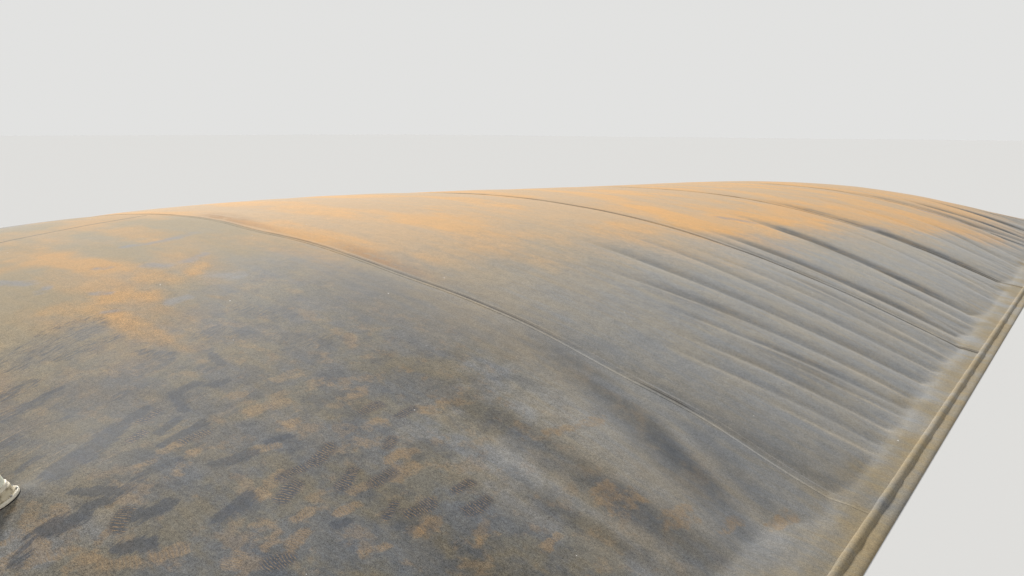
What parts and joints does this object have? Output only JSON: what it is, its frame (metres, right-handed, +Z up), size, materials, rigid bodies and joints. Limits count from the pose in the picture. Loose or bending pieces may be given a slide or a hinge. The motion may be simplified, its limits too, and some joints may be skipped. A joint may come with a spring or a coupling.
{
  "type": "biogas digester",
  "caption": "Covered-lagoon biogas digester above ground: a low inflated black geomembrane cover of welded sheets, its edge welded to the liner, with a flanged plastic gas outlet.",
  "frame": {"origin": "on the ground under the middle of the cover, at the centre of the underside of the whole object's box", "axes": "+X across the lagoon, towards the long edge that the picture shows at the right; +Y along the lagoon, away from the end with the gas outlet; +Z up"},
  "size_m": [18.8, 34, 1.7753],
  "materials": {
    "dusty_membrane": "black polyethylene sheet under a film of orange-tan soil dust",
    "weld_membrane": "black polyethylene with hot-wedge weld tracks and dust in them",
    "liner": "black polyethylene liner with soil washed along it",
    "white_pipe": "white rigid plastic pipe, a little dusty",
    "cream_plastic": "yellowed moulded plastic",
    "weathered_plastic": "moulded plastic stained olive-brown by soil",
    "gasket_rubber": "black sheet rubber"
  },
  "bodies": {
    "root": {"cover_sheet_1_left": "dusty_membrane", "cover_sheet_1_right": "dusty_membrane", "cover_sheet_2_left": "dusty_membrane", "cover_sheet_2_right": "dusty_membrane", "cover_sheet_3_left": "dusty_membrane", "cover_sheet_3_right": "dusty_membrane", "cover_sheet_4_left": "dusty_membrane", "cover_sheet_4_right": "dusty_membrane", "cover_sheet_5_left": "dusty_membrane", "cover_sheet_5_right": "dusty_membrane", "cover_sheet_6_left": "dusty_membrane", "cover_sheet_6_right": "dusty_membrane", "cover_sheet_7_left": "dusty_membrane", "cover_sheet_7_right": "dusty_membrane", "weld_flap_1": "weld_membrane", "weld_flap_2": "weld_membrane", "weld_flap_3": "weld_membrane", "weld_flap_4": "weld_membrane", "weld_flap_5": "weld_membrane", "weld_flap_6": "weld_membrane", "liner_left": "liner", "liner_right": "liner", "liner_near": "liner", "liner_far": "liner", "edge_bead_left": "weld_membrane", "edge_bead_right": "weld_membrane", "edge_bead_near": "weld_membrane", "edge_bead_far": "weld_membrane", "outlet_boot": "weld_membrane", "outlet_backing_ring": "weathered_plastic", "outlet_gasket": "gasket_rubber", "outlet_flange": "cream_plastic", "outlet_hub": "weathered_plastic", "outlet_collar": "cream_plastic", "outlet_pipe": "white_pipe", "outlet_coupling": "white_pipe"}
  },
  "joints": []
}
